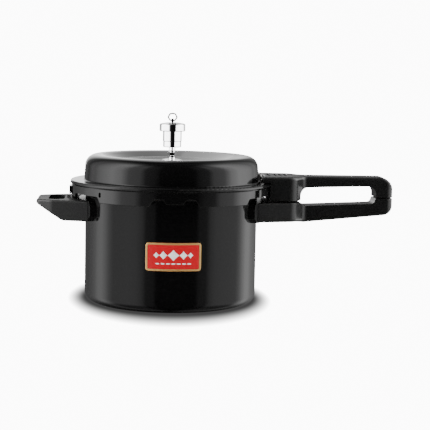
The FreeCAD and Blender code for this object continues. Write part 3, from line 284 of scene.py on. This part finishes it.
def red_enamel():
    """The badge's field: gloss enamel, a little darker in some patches than in others."""
    shader = Shader("badge_enamel", IOR=1.4, Coat_Weight=0.2, Coat_Roughness=0.06)
    pool = shader.noise(60.0, 2.0)
    ripple = shader.noise(420.0, 2.0)
    shader.base(shader.mixed(pool, (0.47, 0.0, 0.006, 1), (0.53, 0.001, 0.009, 1)))
    shader.rough(shader.stretched(ripple, 0.3, 0.7, 0.2, 0.28))
    shader.bump(ripple, 0.002 * MM)
    return shader.material


def badge_gold():
    """Rolled gold foil, a little uneven in colour."""
    shader = Shader("badge_gold", Metallic=0.55, IOR=1.5)
    foil = shader.noise(900.0, 3.0)
    patch = shader.noise(120.0, 3.0)
    shader.base(shader.mixed(patch, (0.62, 0.36, 0.11, 1), (0.8, 0.5, 0.18, 1)))
    shader.rough(shader.stretched(foil, 0.3, 0.7, 0.28, 0.42))
    shader.bump(foil, 0.01 * MM)
    return shader.material


def badge_cream():
    """Screen-printed ink with a slight grain."""
    shader = Shader("badge_cream", IOR=1.5)
    ink = shader.noise(1500.0, 3.0)
    shader.base(shader.mixed(ink, (0.8, 0.82, 0.8, 1), (0.9, 0.92, 0.9, 1)))
    shader.rough(shader.stretched(ink, 0.3, 0.7, 0.35, 0.5))
    shader.bump(ink, 0.01 * MM)
    return shader.material


def dress_cad_nodes():
    """Give every CAD node the material of its slot in the record, but the lid shell and the weight
    ring their own.
    """
    by_slot = {
        "anodised": anodised_black("anodised_black", 0.07),
        "guard": anodised_black("guard_black", 0.26),
        "handle_plastic": moulded_plastic(),
        "steel": brushed_steel(),
        "chrome": plated("chrome_plate", (0.93, 0.93, 0.94), 0.035, 3000.0, 0.001),
        "brass": plated("turned_brass", (0.74, 0.53, 0.24), 0.2, 2600.0, 0.006),
        "fusible": plated("fusible_alloy", (0.48, 0.48, 0.5), 0.38, 900.0, 0.01),
        "rubber": gasket_rubber(),
        "badge": red_enamel(),
    }
    own = {"lid_shell": anodised_black("lid_black", 0.07, 0.09),
           "weight_ring": plated("ring_wire", (0.06, 0.058, 0.058), 0.16, 2200.0, 0.002)}
    for entry in frame["record"]["subparts"]:
        mesh = frame["nodes"][entry["node"]].data
        mesh.materials.clear()
        mesh.materials.append(own.get(entry["node"]) or by_slot[entry["material_slot"]])


# ---------------------------------------------------------------- badge

def on_cylinder(radius, along, height):
    """A point on the pot's front: along is the distance round the wall from the front line."""
    angle = along / radius
    return Vector((radius * math.sin(angle), -radius * math.cos(angle), height))


def rounded_rectangle(half_width, low, high, corner, steps=8):
    """Points round a rectangle with round corners, anticlockwise from its lower right corner."""
    centres = ((half_width - corner, low + corner, -90), (half_width - corner, high - corner, 0),
               (corner - half_width, high - corner, 90), (corner - half_width, low + corner, 180))
    points = []
    for x, z, start in centres:
        for step in range(steps + 1):
            angle = math.radians(start + 90 * step / steps)
            points.append((x + corner * math.cos(angle), z + corner * math.sin(angle)))
    return points


def divided(points, longest):
    """The closed outline again, with points added so that no side is longer than that."""
    result = []
    for (x0, z0), (x1, z1) in zip(points, points[1:] + points[:1]):
        count = max(1, math.ceil(math.hypot(x1 - x0, z1 - z0) / longest))
        for step in range(count):
            result.append((x0 + (x1 - x0) * step / count, z0 + (z1 - z0) * step / count))
    return result


def mesh_piece(name, mesh, material, body):
    mesh.normal_update()
    data = bpy.data.meshes.new(name)
    mesh.to_mesh(data)
    mesh.free()
    for face in data.polygons:
        face.use_smooth = True
    piece = bpy.data.objects.new(name, data)
    bpy.context.scene.collection.objects.link(piece)
    data.materials.append(material)
    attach(piece, body)
    return piece


def badge_rim(material):
    """A raised border that follows the badge's edge round the pot's curve."""
    low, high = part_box("front_badge")
    plate_radius = -low.y
    half_angle = math.asin(high.x / plate_radius)
    half_width = plate_radius * half_angle
    edge, rise, inset = BADGE_RIM_WIDTH, BADGE_RIM_RISE, BADGE_RIM_INSET
    bevel = 0.35 * MM
    section = ((inset, -BADGE_SINK), (inset, 0.6 * rise), (inset + bevel, rise),
               (edge - bevel, rise), (edge, 0.6 * rise), (edge, -BADGE_SINK))
    mesh = bmesh.new()
    outside = divided(rounded_rectangle(half_width, low.z, high.z, BADGE_CORNER), LONGEST_SIDE)
    middle, half_height = (low.z + high.z) / 2, (high.z - low.z) / 2
    inner_x, inner_z = half_width - BADGE_CORNER, half_height - BADGE_CORNER
    loops = []
    for inset, lift in section:
        radius = plate_radius + lift
        loop = []
        for x, z in outside:
            nearest = Vector((min(max(x, -inner_x), inner_x),
                              min(max(z - middle, -inner_z), inner_z)))
            away = Vector((x, z - middle)) - nearest
            place = nearest + away * (1.0 - inset / away.length)
            loop.append(mesh.verts.new(on_cylinder(radius, place.x * radius / plate_radius,
                                                   middle + place.y)))
        loops.append(loop)
    count = len(loops[0])
    for first, second in zip(loops, loops[1:] + loops[:1]):
        for i in range(count):
            j = (i + 1) % count
            mesh.faces.new((first[i], first[j], second[j], second[i]))
    bmesh.ops.recalc_face_normals(mesh, faces=mesh.faces)
    return mesh_piece("badge_rim", mesh, material, "pot")


def raised_strip(mesh, plate_radius, x, z, half_width, height_at, columns=24):
    """A thin raised shape on the badge; height_at gives its half height from -1 to 1 across it."""
    corners = ((BADGE_PRINT_RISE, 1), (-BADGE_SINK, 1), (-BADGE_SINK, -1), (BADGE_PRINT_RISE, -1))
    rings = []
    for column in range(columns + 1):
        part = -1.0 + 2.0 * column / columns
        along, half = x + half_width * part, max(height_at(part), THINNEST_PRINT)
        rings.append([mesh.verts.new(on_cylinder(plate_radius + lift, along, z + side * half))
                      for lift, side in corners])
    for first, second in zip(rings, rings[1:]):
        for i in range(4):
            j = (i + 1) % 4
            mesh.faces.new((first[i], first[j], second[j], second[i]))
    mesh.faces.new(rings[0])
    mesh.faces.new(rings[-1][::-1])


def badge_ornament(material):
    """A plain printed ornament: a row of hollow-sided diamonds over a row of dashes."""
    low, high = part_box("front_badge")
    plate_radius = -low.y
    middle = (low.z + high.z) / 2
    mesh = bmesh.new()
    # millimetres: distance from the middle, half width, half height
    diamonds = ((0.0, 6.6, 6.4), (11.4, 4.6, 4.9), (19.4, 3.2, 3.5))
    for along, half_width, half_height in diamonds:
        for side in ((-1, 1) if along else (1,)):
            raised_strip(mesh, plate_radius, side * along * MM, middle + 2.0 * MM, half_width * MM,
                         lambda part: half_height * MM * (1.0 - abs(part) ** 0.85) ** 1.1)
    for along in (-18.0, -12.0, -6.0, 0.0, 6.0, 12.0, 18.0):
        raised_strip(mesh, plate_radius, along * MM, middle - 7.6 * MM, 2.3 * MM,
                     lambda part: 0.75 * MM * (1.0 - abs(part) ** 4), 12)
    bmesh.ops.recalc_face_normals(mesh, faces=mesh.faces)
    return mesh_piece("badge_ornament", mesh, material, "pot")


# ---------------------------------------------------------------- studio

def paper_floor():
    """White paper that glows for the camera, with a painted soft shadow, a dark pool, round the
    pot's foot.
    """
    shader = Shader("pale_floor", Roughness=0.9, IOR=1.3)
    paper = shader.noise(300.0, 3.0)
    shader.base(shader.mixed(paper, grey(0.86), grey(0.88)))
    x, y, _ = shader.xyz()
    y = shader.calc("SUBTRACT", y, PAINTED_SHADOW_BACK)

    def oval(half_width, half_depth):
        across = shader.calc("DIVIDE", x, half_width)
        back = shader.calc("DIVIDE", y, half_depth)
        return shader.calc("SQRT", shader.calc("ADD", shader.calc("MULTIPLY", across, across),
                                               shader.calc("MULTIPLY", back, back)))

    # Painted shadow: the floor's glow is darkened between the inner and the outer oval, darkest at
    # the inner one.
    inner, outer = oval(*PAINTED_SHADOW_INNER), oval(*PAINTED_SHADOW_OUTER)
    width = shader.calc("SUBTRACT", shader.calc("DIVIDE", inner, outer), 1.0)
    clear = shader.stretched(shader.calc("DIVIDE", shader.calc("SUBTRACT", inner, 1.0), width),
                             0.0, 1.0, 1.0, 0.0)
    shade = shader.calc("MULTIPLY", shader.calc("POWER", clear, PAINTED_SHADOW_FADE), PAINTED_SHADOW_DEPTH)
    glow = shader.add("ShaderNodeEmission", Strength=shader.calc(
        "MULTIPLY", shader.calc("EXPONENT", shade), WHITE))
    rays = shader.add("ShaderNodeLightPath")
    choose = shader.add("ShaderNodeMixShader", Fac=rays.outputs["Is Camera Ray"])
    shader.tree.links.new(shader.surface.outputs[0], choose.inputs[1])
    shader.tree.links.new(glow.outputs[0], choose.inputs[2])
    output = shader.tree.nodes["Material Output"]
    shader.tree.links.new(choose.outputs[0], output.inputs["Surface"])
    return shader.material


def make_floor():
    mesh = bmesh.new()
    bmesh.ops.create_circle(mesh, cap_ends=True, segments=96, radius=FLOOR_RADIUS)
    data = bpy.data.meshes.new("floor")
    mesh.to_mesh(data)
    mesh.free()
    floor = bpy.data.objects.new("floor", data)
    bpy.context.scene.collection.objects.link(floor)
    floor.location.z = -FLOOR_DROP
    data.materials.append(paper_floor())
    floor.visible_glossy = False


def soft_light(name, place, target, width, height, power):
    """A big soft lamp that lights dull surfaces and isn't seen in the shiny ones."""
    data = bpy.data.lights.new(name, "AREA")
    data.shape = "RECTANGLE"
    data.size = width
    data.size_y = height
    data.energy = power
    light = bpy.data.objects.new(name, data)
    bpy.context.scene.collection.objects.link(light)
    aim = Vector(target) - Vector(place)
    light.location = place
    light.rotation_euler = aim.to_track_quat("-Z", "Y").to_euler()
    light.visible_glossy = False
    light.visible_camera = False
    return light


def chrome_softboxes():
    """Two wide white boards beside the weight, linked to the bright parts and to nothing else."""
    shiny = bpy.data.collections.new("chrome_parts")
    for node in BOARD_MIRRORS:
        shiny.objects.link(frame["nodes"][node])
    low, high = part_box("weight_body")
    middle = (low + high) / 2
    for name, side in (("board_left_1", -1), ("board_right_1", 1)):
        angle = math.radians(BOARD_ANGLE) * side
        place = middle + BOARD_DISTANCE * Vector((math.sin(angle), -math.cos(angle), 0.0))
        board = soft_light(name, place, middle, *BOARD_SIZE, BOARD_POWER)
        board.visible_glossy = True
        board.light_linking.receiver_collection = shiny


def studio_world():
    """A room that is plain white to the camera and banded, by direction, in every reflection.

    One set of bands lies below the horizon and one above, with a dark front that faces the badge.
    """
    world = bpy.data.worlds.new("studio")
    bpy.context.scene.world = world
    world.use_nodes = True
    tree = world.node_tree
    tree.nodes.clear()
    nodes = Nodes(tree)
    direction = nodes.add("ShaderNodeTexCoord").outputs["Generated"]
    x, y, z = nodes.add("ShaderNodeSeparateXYZ", Vector=direction).outputs
    turn = nodes.calc("DEGREES", nodes.calc("ARCTAN2", x, nodes.calc("MULTIPLY", y, -1.0)))
    azimuth = nodes.calc("ABSOLUTE", nodes.calc("SUBTRACT", turn, FRONT_TURN))
    elevation = nodes.calc("DEGREES", nodes.calc("ARCSINE", z))
    low = nodes.calc("MULTIPLY", nodes.levels(azimuth, REFLECTED_LOW),
                     nodes.stretched(elevation, -45.0, -20.0, 0.25, 1.0, smooth=True))
    high = nodes.calc("MULTIPLY", nodes.levels(azimuth, REFLECTED_HIGH),
                      nodes.stretched(elevation, 45.0, 74.0, 1.0, 0.03, smooth=True))
    above = nodes.stretched(elevation, -2.5, 1.5, 0.0, 1.0, smooth=True)
    mirrored = nodes.calc("ADD", nodes.calc("MULTIPLY", high, above),
                          nodes.calc("MULTIPLY", low, nodes.calc("SUBTRACT", 1.0, above)))
    seen = nodes.add("ShaderNodeLightPath").outputs["Is Camera Ray"]
    strength = nodes.calc("ADD",
                          nodes.calc("MULTIPLY", mirrored, nodes.calc("SUBTRACT", 1.0, seen)),
                          nodes.calc("MULTIPLY", WHITE, seen))
    room = nodes.add("ShaderNodeBackground", Strength=strength, Color=grey(1.0))
    output = nodes.add("ShaderNodeOutputWorld")
    tree.links.new(room.outputs[0], output.inputs[0])


def make_camera():
    """The camera, turned a little about its own line of sight."""
    eye, aim = Vector(CAMERA_EYE), Vector(CAMERA_AIM)
    data = bpy.data.cameras.new("camera")
    data.lens = CAMERA_LENS
    data.sensor_width = CAMERA_SENSOR
    camera = bpy.data.objects.new("camera", data)
    bpy.context.scene.collection.objects.link(camera)
    look = (aim - eye).to_track_quat("-Z", "Y").to_matrix().to_4x4()
    roll = Matrix.Rotation(math.radians(CAMERA_ROLL), 4, "Z")
    camera.matrix_world = Matrix.Translation(eye) @ look @ roll
    bpy.context.scene.camera = camera


dress_cad_nodes()
badge_rim(badge_gold())
badge_ornament(badge_cream())
make_floor()
studio_world()
soft_light("overhead", place=(0.1, 0.15, 1.9), target=(0.0, 0.0, 0.0),
           width=2.2, height=2.0, power=60.0)
soft_light("front_fill", place=(0.2, -2.2, 1.6), target=(0.0, 0.0, 0.1),
           width=1.6, height=1.0, power=8.0)
chrome_softboxes()
make_camera()
